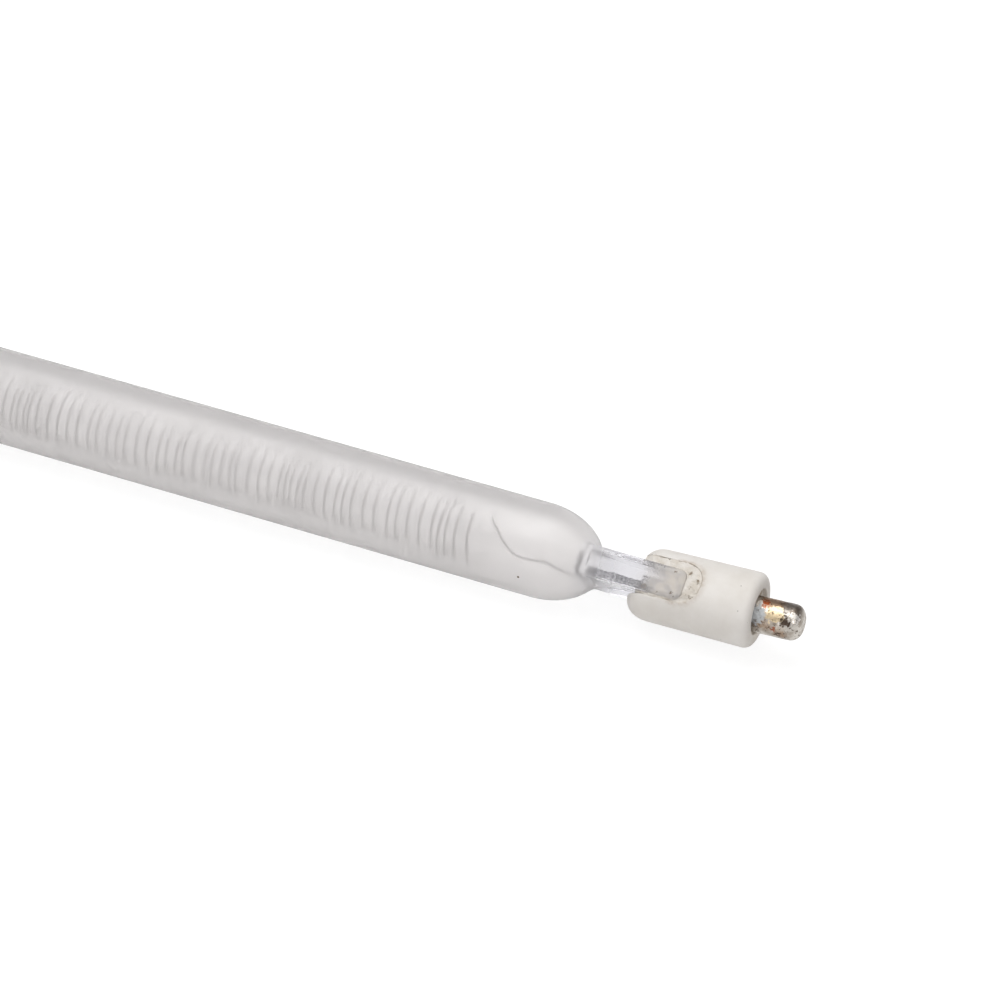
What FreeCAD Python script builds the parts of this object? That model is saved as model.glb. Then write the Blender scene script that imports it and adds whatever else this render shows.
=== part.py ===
import FreeCAD, Part

import math
import os

import Sketcher

Vector = FreeCAD.Vector
Placement = FreeCAD.Placement
Rotation = FreeCAD.Rotation
X_AXIS = Vector(1, 0, 0)
Y_AXIS = Vector(0, 1, 0)
Z_AXIS = Vector(0, 0, 1)

# A double-ended infrared heater tube, in millimetres.
# The tube lies along X with its middle at the origin. It is built with the broad faces of its seals
# facing Y, then rolled about X until the pip of the tube touches the plane that the tube lies on.
# Each end is built outwards from where the straight tube stops, so an end's own X points outwards.
# A room is the gap between two pieces, and a drop, lean or twist is how far a piece sits out of true.
DIMENSIONS = {
    "tube_outer_diameter": 10.5,
    "tube_wall": 1.0,
    "tube_straight_length": 180.0,
    "dome_length": 7.0,
    "dome_inset": 0.04,
    "dome_end_wall": 2.2,
    "bore_end_narrowing": 2.6,
    "seal_length": 10.8,
    "seal_thickness": 3.5,
    "seal_width": 8.0,
    "seal_corner": 0.6,
    "seal_recess_depth": 0.55,
    "seal_recess_start": 1.0,
    "seal_rib": 1.5,
    "seal_drop": 0.2,
    "pip_height": 1.08,
    "pip_tip_radius": 0.7,
    "pip_root_radius": 1.9,
    "pip_root_depth": 0.6,
    "pip_turn": 72.2,
    "coil_room": 1.075,
    "coil_wire": 0.35,
    "coil_pitch": 9.0,
    "coil_end_gap": 5.6,
    "leg_bend_radius": 1.2,
    "leg_slant_radius": 1.8,
    "leg_slant": 40.0,
    "foil_thickness": 0.1,
    "foil_width": 2.6,
    "foil_length": 7.6,
    "foil_overlap": 1.6,
    "foil_in_dome": 0.6,
    "lead_diameter": 0.8,
    "lead_in_pin": 2.4,
    "cap_gap": 4.8,
    "cap_fork_diameter": 8.12,
    "cap_face_diameter": 8.4,
    "cap_fork_rounding": 2.2,
    "cap_face_chamfer": 0.55,
    "cap_bore_length": 4.8,
    "cap_mouth_depth": 1.2,
    "cap_drop": 0.3,
    "cap_lean": 1.5,
    "cap_twist": 6.5,
    "slot_side_room": 0.55,
    "slot_end_room": 1.8,
    "cement_start": 2.6,
    "cement_sink": 0.12,
    "pin_diameter": 4.0,
    "pin_reach": 5.1,
    "pin_tip_rounding": 1.3,
    "pin_neck_step": 0.2,
    "pin_neck_reach": 0.1,
    "pin_mouth_room": 0.55,
    "pin_seat_room": 0.1,
    "shank_diameter": 2.4,
    "shank_length": 3.6,
    "shank_room": 0.5,
    "pin_drop": 0.28,
    "pin_lean": 1.1,
    "filler_sink": 0.45,
}

# Sizes and places that follow from the driving ones. Places are along X from the end of the straight tube,
# and those in the cap from the cap's inner end.
SEAL_REACH = "(dome_length + seal_length)"
BORE_REACH = "(tube_straight_length / 2 + dome_length - dome_end_wall)"
COIL_RADIUS = "(tube_outer_diameter / 2 - tube_wall - coil_room - coil_wire / 2)"
FOIL_START = "(dome_length - foil_in_dome)"
CAP_START = "(dome_length + cap_gap)"
SLOT_WIDTH = "(seal_thickness + 2 * slot_side_room)"
SLOT_DEPTH = "(seal_length - cap_gap + slot_end_room)"
CAP_STEP = f"({SLOT_DEPTH} + cap_bore_length)"
CAP_LENGTH = f"({CAP_STEP} + cap_mouth_depth)"
CAP_BORE = "(shank_diameter + 2 * shank_room)"
CAP_MOUTH = "(pin_diameter + 2 * pin_mouth_room)"
SHANK_FOOT = "(0 - cap_mouth_depth - shank_length)"

# Right and left, with how much of the drops, leans and twists each end has:
# the right end sits a little crooked, and the left end is straight
ENDS = {"right": 1.0, "left": 0.0}

doc = FreeCAD.newDocument("heater_tube")
sheet = doc.addObject("Spreadsheet::Sheet", "dims")
for row, (alias, number) in enumerate(DIMENSIONS.items(), 1):
    sheet.set(f"A{row}", alias)
    sheet.set(f"B{row}", str(number))
    sheet.setAlias(f"B{row}", alias)
doc.recompute()


def in_sheet(formula):
    """The formula with each alias written as a reference to the sheet."""
    words = []
    word = ""
    for letter in formula + " ":
        if letter.isalpha() or letter == "_":
            word += letter
            continue
        words.append(f"dims.{word}" if word in DIMENSIONS else word)
        words.append(letter)
        word = ""
    return "".join(words).strip()


def size(formula):
    """The number that a formula of aliases gives."""
    return float(sheet.evalExpression(in_sheet(formula)))


def bind(item, **formulas):
    """Ties properties of an object to the sheet. A plain word in a formula is an alias of the sheet."""
    for name, formula in formulas.items():
        item.setExpression(name, in_sheet(formula))


def add(kind, name, **formulas):
    """A new object of the document with its sizes tied to the sheet."""
    item = doc.addObject(kind, name)
    bind(item, **formulas)
    return item


def origin_plane(body, role):
    return next(item for item in body.Origin.OriginFeatures if item.Role == role)


def plane_sketch(body, name, role):
    """An empty sketch on one of the body's own origin planes."""
    sketch = body.newObject("Sketcher::SketchObject", name)
    sketch.AttachmentSupport = [(origin_plane(body, role), "")]
    sketch.MapMode = "FlatFace"
    return sketch


def pin_point(sketch, index, kind, formula, number, axis):
    """Holds the start of one line at a distance from the sketch's origin, or on its axis at nought."""
    if formula == "0":
        sketch.addConstraint(Sketcher.Constraint("PointOnObject", index, 1, axis))
        return
    rule = sketch.addConstraint(Sketcher.Constraint(kind, -1, 1, index, 1, number))
    sketch.setExpression(f"Constraints[{rule}]", in_sheet(formula))


def outline(sketch, corners):
    """A closed outline through corners that are given as pairs of formulas, each tied to the sheet."""
    points = [Vector(size(along), size(across), 0) for along, across in corners]
    count = len(points)
    for index, point in enumerate(points):
        sketch.addGeometry(Part.LineSegment(point, points[(index + 1) % count]), False)
    for index in range(count):
        sketch.addConstraint(Sketcher.Constraint("Coincident", index, 2, (index + 1) % count, 1))
    for index, (along, across) in enumerate(corners):
        pin_point(sketch, index, "DistanceX", along, points[index].x, -2)
        pin_point(sketch, index, "DistanceY", across, points[index].y, -1)


def turned(body, name, corners):
    """A solid of revolution about the body's X axis."""
    sketch = plane_sketch(body, f"{name}_profile", "XY_Plane")
    outline(sketch, corners)
    revolution = body.newObject("PartDesign::Revolution", name)
    revolution.Profile = sketch
    revolution.ReferenceAxis = (sketch, ["H_Axis"])
    revolution.Angle = 360
    doc.recompute()
    return revolution


def edges_of(base, chosen):
    """The names of the edges of a feature that the test picks out."""
    return [f"Edge{number}" for number, edge in enumerate(base.Shape.Edges, 1) if chosen(edge)]


def rounded(body, name, base, radius, chosen):
    fillet = body.newObject("PartDesign::Fillet", name)
    fillet.Base = (base, edges_of(base, chosen))
    bind(fillet, Radius=radius)
    doc.recompute()
    return fillet


def chamfered(body, name, base, width, chosen):
    chamfer = body.newObject("PartDesign::Chamfer", name)
    chamfer.Base = (base, edges_of(base, chosen))
    bind(chamfer, Size=width)
    doc.recompute()
    return chamfer


def circle_at(along, radius):
    """A test for a circular edge at this place along X and of this radius."""
    def test(edge):
        if edge.Curve.TypeId != "Part::GeomCircle":
            return False
        return abs(edge.Curve.Center.x - along) < 1e-4 and abs(edge.Curve.Radius - radius) < 1e-4
    return test


def placed(along, across=0.0, turn=Rotation()):
    return Placement(Vector(along, across, 0), turn)


def rod(name, frame, diameter, start, stop):
    """A round rod along X of a frame, between two places given as formulas."""
    cylinder = add("Part::Cylinder", name, Radius=f"{diameter} / 2", Height=f"{stop} - ({start})")
    cylinder.Placement = frame * placed(size(start), 0, Rotation(Y_AXIS, 90))
    return cylinder


def joined(name, pieces):
    fuse = doc.addObject("Part::MultiFuse", name)
    fuse.Shapes = pieces
    return fuse


def cut(name, base, tool):
    result = doc.addObject("Part::Cut", name)
    result.Base = base
    result.Tool = tool
    return result


# How the whole tube is rolled: it lies on its wall and on the ball at the pip's tip
tube_radius = size("tube_outer_diameter / 2")
pip_centre = size("tube_outer_diameter / 2 + pip_height - pip_tip_radius")
pip_lift = math.degrees(math.acos(size("tube_outer_diameter / 2 - pip_tip_radius") / pip_centre))
lay = Placement(Vector(), Rotation(X_AXIS, size("pip_turn") - pip_lift))
half_length = size("tube_straight_length / 2")


def end_frame(side):
    """The frame of one end: its origin where the straight tube stops, its X outwards."""
    turn = Rotation(Z_AXIS, 0 if side == "right" else 180)
    return lay * Placement(Vector(), turn) * placed(half_length)


def seal_frame(side):
    return end_frame(side) * placed(0, -size("seal_drop") * ENDS[side])


def cap_frame(side):
    share = ENDS[side]
    turn = Rotation(Z_AXIS, size("cap_lean") * share) * Rotation(X_AXIS, -size("cap_twist") * share)
    return end_frame(side) * placed(size(CAP_START), -size("cap_drop") * share, turn)


def pin_frame(side):
    """The frame of one contact pin, with its origin at the cap's outer face."""
    share = ENDS[side]
    turn = Rotation(Z_AXIS, size("pin_lean") * share)
    return cap_frame(side) * placed(size(CAP_LENGTH), -size("pin_drop") * share, turn)


# Domed end of the tube: the circle of the tube closes to the narrow oval of the seal.
# Seen on the broad side of the seal it hardly narrows, seen on the edge it closes as a quarter of an oval.
# Each section is at one share of the dome's whole turn.
DOME_SHARES = (0, 0.25, 0.5, 0.73, 0.9, 1)
DOME_TURN = "acos((seal_thickness - 2 * dome_inset) / tube_outer_diameter)"


def dome(side):
    sections = []
    whole = math.radians(size(DOME_TURN))
    for number, share in enumerate(DOME_SHARES):
        narrow, wide = "(seal_width / 2 - dome_inset)", "tube_outer_diameter / 2"
        oval = add(
            "Part::Ellipse",
            f"dome_section_{side}_{number}",
            MinorRadius=f"{wide} * cos({share} * {DOME_TURN})",
            MajorRadius=f"{narrow} + ({wide} - {narrow}) * cos({share} * 90 deg) ^ 2",
        )
        reach = math.sin(share * whole)
        along = size("dome_length") * reach
        drop = size("seal_drop") * ENDS[side] * reach / math.sin(whole)
        oval.Placement = end_frame(side) * placed(along, -drop, Rotation(Y_AXIS, -90))
        sections.append(oval)
    loft = doc.addObject("Part::Loft", f"dome_{side}")
    loft.Sections = sections
    loft.Solid = True
    loft.Ruled = False
    return loft


# Pinch seal: a flat bar with rounded corners and a pressed hollow in each broad face, which leaves two ribs.
# Its root lies inside the dome.
SQUARE = ((1, 1), (-1, 1), (-1, -1), (1, -1))


def seal(side):
    body = doc.addObject("PartDesign::Body", f"seal_{side}")
    section = plane_sketch(body, f"seal_section_{side}", "YZ_Plane")
    outline(section, [(f"{a} * seal_thickness / 2", f"{b} * seal_width / 2") for a, b in SQUARE])
    bar = body.newObject("PartDesign::Pad", f"seal_bar_{side}")
    bar.Profile = section
    bind(bar, Length=SEAL_REACH)
    doc.recompute()
    rounded(body, f"seal_corners_{side}", bar, "seal_corner", lambda edge: abs(edge.tangentAt(0).x) > 0.999)
    hollow = plane_sketch(body, f"seal_hollow_outline_{side}", "XZ_Plane")
    bind(hollow, **{"AttachmentOffset.Base.z": "0 - seal_thickness / 2"})
    start, stop = "dome_length + seal_recess_start", f"{SEAL_REACH} - seal_rib"
    reach = "(seal_width / 2 - seal_rib)"
    outline(hollow, [(start, f"-1 * {reach}"), (stop, f"-1 * {reach}"), (stop, reach), (start, reach)])
    pocket = body.newObject("PartDesign::Pocket", f"seal_hollow_{side}")
    pocket.Profile = hollow
    bind(pocket, Length="seal_recess_depth")
    pocket.Reversed = True
    doc.recompute()
    mirror = body.newObject("PartDesign::Mirrored", f"seal_hollows_{side}")
    mirror.Originals = [pocket]
    mirror.MirrorPlane = (origin_plane(body, "XZ_Plane"), [""])
    body.Tip = mirror
    body.Placement = seal_frame(side)
    return body


# Heating coil: resistance wire, wound as a helix of half circles that run into one another.
# The real wire is finer and wound closer. This one is drawn square and thicker, with as few turns as give
# it the same weight, to keep its faces few.
def swept(wire, point, heading, moves):
    """Side faces of a wire that follows moves, and where it ends. A move is a straight run, or a bend given
    as the way to its centre, its radius and its angle."""
    faces = []
    for move in moves:
        if len(move) == 1:
            step = heading * move[0]
            faces += [edge.extrude(step) for edge in wire.Edges]
            wire = wire.translated(step)
            point = point + step
            continue
        towards, radius, angle = move
        centre = point + towards * radius
        axis = heading.cross(towards)
        faces += [edge.revolve(centre, axis, angle) for edge in wire.Edges]
        wire = wire.copy()
        wire.rotate(centre, axis, angle)
        turn = Rotation(axis, angle)
        point = centre + turn.multVec(point - centre)
        heading = turn.multVec(heading)
    return faces, wire, point, heading


def coil_half_turns():
    """As many half turns as fit between the coil's ends, an even number, the pitch that then fits, and
    how far the coil reaches from the middle."""
    length = size("tube_straight_length - 2 * coil_end_gap")
    count = 2 * round(length / size("coil_pitch"))
    return count, 2 * length / count, length / 2


def leg(wire, side):
    """One leg of the coil, built at the right end: the turn's end bends along the tube, slants to the middle
    of the seal and runs straight in to the foil. Gives the faces, the last section and the run's solid."""
    radius, bend, slant_bend = size(COIL_RADIUS), size("leg_bend_radius"), size("leg_slant_radius")
    degrees = size("leg_slant")
    slant = math.radians(degrees)
    start = Vector(coil_half_turns()[2], 0, -radius)
    to_middle = Vector(0, -size("seal_drop") * ENDS[side] - bend, radius)
    across = to_middle / to_middle.Length
    run = (to_middle.Length - 2 * slant_bend * (1 - math.cos(slant))) / math.sin(slant)
    back = X_AXIS * math.sin(slant) - across * math.cos(slant)
    moves = [(X_AXIS, bend, 90), (across, slant_bend, degrees), (run,), (back, slant_bend, degrees)]
    faces, wire, point, heading = swept(wire, start, Y_AXIS, moves)
    last_run = half_length + size(f"{FOIL_START} + foil_overlap") - point.x
    more, end_wire, point, heading = swept(wire, point, heading, [(last_run,)])
    return faces + more, end_wire, Part.Face(wire).extrude(heading * last_run)


def feature(name, shape):
    """A solid of the document that is built before the tube is rolled."""
    item = doc.addObject("Part::Feature", name)
    item.Shape = shape
    item.Placement = lay * shape.Placement
    return item


def heating_coil():
    """The whole wire, and the straight run of each leg, which the seal and the foil take."""
    radius = size(COIL_RADIUS)
    count, pitch, reach = coil_half_turns()
    half = size("coil_wire / 2")
    start = Vector(-reach, 0, -radius)
    corners = [start + Vector(a * half, 0, b * half) for a, b in SQUARE]
    first = Part.makePolygon(corners + corners[:1])
    moves = []
    for index in range(count):
        to_centre = Vector(pitch / 4, 0, radius * (-1) ** index)
        moves.append((to_centre / to_centre.Length, to_centre.Length, 180))
    faces, last, point, heading = swept(first, start, Y_AXIS, moves)
    runs = {}
    for side, wire in (("right", last), ("left", first)):
        turn = 0 if side == "right" else 180
        wire = wire.copy()
        wire.rotate(Vector(), Z_AXIS, turn)
        more, end_wire, run = leg(wire, side)
        for shape in more + [end_wire, run]:
            shape.rotate(Vector(), Z_AXIS, turn)
        faces += more + [Part.Face(end_wire)]
        runs[side] = feature(f"coil_leg_{side}", run)
    shell = Part.Shell(faces)
    shell.sewShape()
    solid = Part.Solid(shell)
    if solid.Volume < 0:
        solid.reverse()
    return feature("heating_coil", solid), runs


# Molybdenum ribbon that carries the current through the seal. The coil's leg is let into its inner end.
def foil_blank(side):
    blank = add("Part::Box", f"foil_blank_{side}", Length="foil_length", Width="foil_thickness")
    bind(blank, Height="foil_width")
    corner = Vector(size(FOIL_START), -size("foil_thickness / 2"), -size("foil_width / 2"))
    blank.Placement = seal_frame(side) * Placement(corner, Rotation())
    return blank


# Round molybdenum rod, split at its inner end for the foil, which runs out into the contact pin
def lead_rod(side):
    start = f"{FOIL_START} + foil_length - foil_overlap"
    stop = f"{CAP_START} + {CAP_LENGTH} + {SHANK_FOOT} + lead_in_pin"
    return rod(f"lead_rod_{side}", seal_frame(side), "lead_diameter", start, stop)


# The quartz: tube, domes, seals and pip in one piece, with the room for what it holds
STRAIGHT = ("0 - tube_straight_length / 2", "tube_straight_length / 2")


def tube_bore():
    """The hollow of the tube, which narrows in each dome."""
    body = doc.addObject("PartDesign::Body", "tube_bore")
    radius = "tube_outer_diameter / 2 - tube_wall"
    back, front = f"-1 * {BORE_REACH}", BORE_REACH
    straight = turned(body, "bore_straight", [(back, "0"), (back, radius), (front, radius), (front, "0")])
    left, right = (circle_at(size(place), size(radius)) for place in (back, front))
    chamfered(body, "bore_ends", straight, "bore_end_narrowing", lambda edge: left(edge) or right(edge))
    body.Placement = lay
    return body


def pip():
    """Where the tube was pumped and melted shut: a short cone on the wall with a round tip."""
    around = lay * Placement(Vector(), Rotation(X_AXIS, -size("pip_turn")))
    cone = add(
        "Part::Cone",
        "pip_root",
        Radius1="pip_root_radius",
        Radius2="pip_tip_radius",
        Height="pip_height - pip_tip_radius + pip_root_depth",
    )
    root = Vector(0, 0, size("pip_root_depth") - tube_radius)
    cone.Placement = around * Placement(root, Rotation(X_AXIS, 180))
    ball = add("Part::Sphere", "pip_tip", Radius="pip_tip_radius")
    ball.Placement = around * Placement(Vector(0, 0, -pip_centre), Rotation())
    return [cone, ball]


def quartz_tube(runs, foils, leads):
    pieces = [rod("tube_outside", lay, "tube_outer_diameter", *STRAIGHT)] + pip()
    room = [tube_bore()]
    for side in ENDS:
        pieces += [dome(side), seal(side)]
        room += [runs[side], foils[side], leads[side]]
    return cut("quartz_tube", joined("quartz_blank", pieces), joined("quartz_room", room))


# Ceramic cap: a turned plug with a slot across its inner end, which makes a fork for the seal, and a
# stepped bore for the pin. Its outside has the slight draft of a pressed part.
PAST_CAP = "2 * cap_face_diameter"


def slot_outline(sketch, start):
    """A slot that is open at its start and has a full round at its end."""
    radius, middle = f"{SLOT_WIDTH} / 2", f"{SLOT_DEPTH} - {SLOT_WIDTH} / 2"
    r, m, s = size(radius), size(middle), size(start)
    sketch.addGeometry(Part.LineSegment(Vector(m, r, 0), Vector(s, r, 0)), False)
    sketch.addGeometry(Part.LineSegment(Vector(s, r, 0), Vector(s, -r, 0)), False)
    sketch.addGeometry(Part.LineSegment(Vector(s, -r, 0), Vector(m, -r, 0)), False)
    circle = Part.Circle(Vector(m, 0, 0), Z_AXIS, r)
    sketch.addGeometry(Part.ArcOfCircle(circle, -math.pi / 2, math.pi / 2), False)
    for rule in (
        ("Coincident", 0, 2, 1, 1),
        ("Coincident", 1, 2, 2, 1),
        ("Tangent", 2, 2, 3, 1),
        ("Tangent", 3, 2, 0, 1),
        ("Horizontal", 0),
        ("Vertical", 1),
        ("PointOnObject", 3, 3, -1),
    ):
        sketch.addConstraint(Sketcher.Constraint(*rule))
    for rule, formula in (
        (("Radius", 3, r), radius),
        (("DistanceX", -1, 1, 3, 3, m), middle),
        (("DistanceX", -1, 1, 1, 1, s), start),
    ):
        number = sketch.addConstraint(Sketcher.Constraint(*rule))
        sketch.setExpression(f"Constraints[{number}]", in_sheet(formula))


def ceramic_cap(side):
    body = doc.addObject("PartDesign::Body", f"ceramic_cap_{side}")
    fork, face = "cap_fork_diameter / 2", "cap_face_diameter / 2"
    plug = turned(body, f"cap_plug_{side}", [("0", "0"), ("0", fork), (CAP_LENGTH, face), (CAP_LENGTH, "0")])
    fork_edge, face_edge = circle_at(0, size(fork)), circle_at(size(CAP_LENGTH), size(face))
    soft = rounded(body, f"cap_fork_round_{side}", plug, "cap_fork_rounding", fork_edge)
    chamfered(body, f"cap_face_bevel_{side}", soft, "cap_face_chamfer", face_edge)
    sketch = plane_sketch(body, f"cap_slot_outline_{side}", "XY_Plane")
    slot_outline(sketch, "0 - slot_side_room")
    slot = body.newObject("PartDesign::Pocket", f"cap_slot_{side}")
    slot.Profile = sketch
    slot.SideType = "Symmetric"
    bind(slot, Length=PAST_CAP)
    doc.recompute()
    bore, mouth = f"{CAP_BORE} / 2", f"{CAP_MOUTH} / 2"
    back, step, end = "0", CAP_STEP, CAP_LENGTH
    profile = plane_sketch(body, f"cap_bore_profile_{side}", "XY_Plane")
    outline(profile, [(back, "0"), (back, bore), (step, bore), (step, mouth), (end, mouth), (end, "0")])
    groove = body.newObject("PartDesign::Groove", f"cap_bore_{side}")
    groove.Profile = profile
    groove.ReferenceAxis = (profile, ["H_Axis"])
    groove.Angle = 360
    body.Placement = cap_frame(side)
    return body


# Cement that fills the fork round the end of the seal, sunk a little below the cap's outside
def cap_cement(side, seal_body, lead):
    body = doc.addObject("PartDesign::Body", f"cement_block_{side}")
    sketch = plane_sketch(body, f"cement_outline_{side}", "XY_Plane")
    slot_outline(sketch, "cement_start")
    block = body.newObject("PartDesign::Pad", f"cement_pad_{side}")
    block.Profile = sketch
    block.SideType = "Symmetric"
    bind(block, Length=PAST_CAP)
    body.Placement = cap_frame(side)
    skin = "(cap_fork_diameter - 2 * cement_sink)"
    limit = rod(f"cement_skin_{side}", cap_frame(side), skin, "0", CAP_STEP)
    filled = doc.addObject("Part::MultiCommon", f"cement_filled_{side}")
    filled.Shapes = [body, limit]
    return cut(f"cap_cement_{side}", filled, joined(f"cement_room_{side}", [seal_body, lead]))


# Contact pin: a turned and plated pin with a round nose, a neck and a shank brazed on the lead
def pin_blank(side):
    body = doc.addObject("PartDesign::Body", f"pin_blank_{side}")
    shank, head = "shank_diameter / 2", "pin_diameter / 2"
    neck = f"{head} - pin_neck_step"
    back = "pin_seat_room - cap_mouth_depth"
    corners = [
        (SHANK_FOOT, "0"),
        (SHANK_FOOT, shank),
        (back, shank),
        (back, neck),
        ("pin_neck_reach", neck),
        ("pin_neck_reach", head),
        ("pin_reach", head),
        ("pin_reach", "0"),
    ]
    turning = turned(body, f"pin_turning_{side}", corners)
    nose = circle_at(size("pin_reach"), size(head))
    rounded(body, f"pin_nose_{side}", turning, "pin_tip_rounding", nose)
    body.Placement = pin_frame(side)
    return body


# Filler that holds the pin in the stepped bore of the cap
def pin_cement(side, pin, lead):
    frame = cap_frame(side)
    mouth = rod(f"filler_mouth_{side}", frame, CAP_MOUTH, CAP_STEP, f"{CAP_LENGTH} - filler_sink")
    bore = rod(f"filler_bore_{side}", frame, CAP_BORE, f"{SLOT_DEPTH} + cement_sink", CAP_STEP)
    filled = joined(f"filler_filled_{side}", [mouth, bore])
    return cut(f"pin_cement_{side}", filled, joined(f"filler_room_{side}", [pin, lead]))


coil, coil_runs = heating_coil()
foil_blanks = {side: foil_blank(side) for side in ENDS}
lead_rods = {side: lead_rod(side) for side in ENDS}
nodes = {"quartz_tube": quartz_tube(coil_runs, foil_blanks, lead_rods), "heating_coil": coil}
for side in ENDS:
    foil, lead = foil_blanks[side], lead_rods[side]
    pin = pin_blank(side)
    nodes[f"seal_foil_{side}"] = cut(f"seal_foil_{side}", foil, coil_runs[side])
    nodes[f"outer_lead_{side}"] = cut(f"outer_lead_{side}", lead, foil)
    nodes[f"ceramic_cap_{side}"] = ceramic_cap(side)
    nodes[f"cap_cement_{side}"] = cap_cement(side, doc.getObject(f"seal_{side}"), lead)
    nodes[f"contact_pin_{side}"] = cut(f"contact_pin_{side}", pin, lead)
    nodes[f"pin_cement_{side}"] = pin_cement(side, pin, lead)
doc.recompute()

failed = [item.Name for item in doc.Objects if {"Invalid", "Error"} & set(item.State)]
if failed:
    raise SystemExit(f"these objects failed: {failed}")
for node, item in nodes.items():
    item.Label = node
    if item.Shape.isNull() or not item.Shape.isValid():
        raise SystemExit(f"{node} has no valid shape")

os.makedirs("parts", exist_ok=True)
for node, item in nodes.items():
    shape = item.Shape
    shape.exportStep(f"parts/{node}.step")
    print(f"{node}: {len(shape.Solids)} solid, {len(shape.Faces)} faces, {shape.Volume:.2f} mm3")
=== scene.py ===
import math

import bpy
import numpy as np
from mathutils import Matrix, Vector, noise


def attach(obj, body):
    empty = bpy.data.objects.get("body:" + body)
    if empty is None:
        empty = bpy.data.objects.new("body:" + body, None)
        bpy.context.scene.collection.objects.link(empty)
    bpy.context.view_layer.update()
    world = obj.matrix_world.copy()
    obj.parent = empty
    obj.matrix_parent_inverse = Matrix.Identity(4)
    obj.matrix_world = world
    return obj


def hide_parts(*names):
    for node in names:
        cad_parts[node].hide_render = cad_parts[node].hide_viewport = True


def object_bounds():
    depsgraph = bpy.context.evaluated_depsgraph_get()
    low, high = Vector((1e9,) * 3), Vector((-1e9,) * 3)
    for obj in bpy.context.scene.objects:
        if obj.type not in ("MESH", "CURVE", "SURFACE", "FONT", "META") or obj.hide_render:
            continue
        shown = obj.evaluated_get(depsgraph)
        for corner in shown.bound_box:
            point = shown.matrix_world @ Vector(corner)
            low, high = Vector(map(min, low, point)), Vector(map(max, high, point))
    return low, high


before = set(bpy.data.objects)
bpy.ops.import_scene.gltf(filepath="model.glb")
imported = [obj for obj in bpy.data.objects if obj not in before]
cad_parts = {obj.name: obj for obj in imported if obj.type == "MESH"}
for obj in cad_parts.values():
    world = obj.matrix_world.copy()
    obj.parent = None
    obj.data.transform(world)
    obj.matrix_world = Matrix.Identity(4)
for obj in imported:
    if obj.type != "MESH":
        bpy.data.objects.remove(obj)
cad_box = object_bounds()

# Heating coil: one length of drawn resistance wire, wound on a mandrel into a fine open helix. Its turns sag
# against the near wall of the tube, the last ones are pulled apart, and a leg runs from each end into a seal.
MM = 0.001
QUARTZ_RADIUS = 5.25
STRAIGHT_HALF = 90.0
WALL = 1.0
COIL_RADIUS = 3.05
COIL_REACH = 84.3
WIRE_RADIUS = 0.075
TURN_SPACING = 1.12
TURN_UNEVENNESS = 0.55
POINTS_A_TURN = 28
PULLED_TURNS = (0.5, 1.3, 1.0, 2.1)
RADIUS_UNEVENNESS = 0.05
COIL_LEAN = math.radians(36)
LEAN_WANDER = 0.35
LEAN_WAVE = 22
PRESS = 0.62
PRESS_WANDER = 0.4
PRESS_WAVE = 14
END_PRESS = 0.3
END_PRESS_START = 70
END_PRESS_RUN = 14
TURN_SWAY = 0.25
TURN_WAVE = 0.9
LEG_PARTS = 10
WIRE_SCALE_PATCH = 0.6
WIRE_GREY = "#55524F"
WIRE_SCALE = "#7E7A75"

# The tube is rolled until the pip on its wall touches what the tube lies on
PIP_TURN = 72.2
PIP_HEIGHT = 1.08
PIP_TIP = 0.7
pip_centre = QUARTZ_RADIUS + PIP_HEIGHT - PIP_TIP
pip_lift = math.degrees(math.acos((QUARTZ_RADIUS - PIP_TIP) / pip_centre))
roll = Matrix.Rotation(math.radians(PIP_TURN - pip_lift), 4, "X")


def linear(code):
    """The linear colour of an sRGB hex value."""
    channels = [int(code[place:place + 2], 16) / 255 for place in (1, 3, 5)]
    return [c / 12.92 if c <= 0.04045 else ((c + 0.055) / 1.055) ** 2.4 for c in channels] + [1.0]


def blank_material(name):
    material = bpy.data.materials.new(name)
    material.use_nodes = True
    material.node_tree.nodes.clear()
    return material


def add_node(material, kind, feeds=None, **settings):
    """Adds one shader node with its own settings. Its feeds are values or other nodes' outputs."""
    made = material.node_tree.nodes.new(kind)
    for name, value in settings.items():
        setattr(made, name, value)
    for name, value in (feeds or {}).items():
        if isinstance(value, bpy.types.NodeSocket):
            material.node_tree.links.new(value, made.inputs[name])
        else:
            made.inputs[name].default_value = value
    return made


def finished(material, surface):
    add_node(material, "ShaderNodeOutputMaterial", {"Surface": surface})
    return material


def layered(material, colour, layers):
    """A colour with tints laid over it in turn, each by its own share."""
    for share, tint in layers:
        colour = add_node(material, "ShaderNodeMixRGB", {
            "Fac": share,
            "Color1": colour,
            "Color2": linear(tint),
        }).outputs["Color"]
    return colour


def resistance_wire():
    """Drawn iron-chromium wire, oxidised by heat: a dull dark grey with paler scale along it."""
    material = blank_material("drawn resistance wire")
    place = add_node(material, "ShaderNodeTexCoord").outputs["Object"]
    scale = add_node(material, "ShaderNodeTexNoise", {
        "Vector": place,
        "Scale": 1 / (WIRE_SCALE_PATCH * MM),
        "Detail": 2.0,
    })
    metal = add_node(material, "ShaderNodeBsdfPrincipled", {
        "Base Color": layered(material, linear(WIRE_GREY), [(scale.outputs["Fac"], WIRE_SCALE)]),
        "Metallic": 1.0,
        "Roughness": 0.45,
    })
    return finished(material, metal.outputs["BSDF"])


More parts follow.
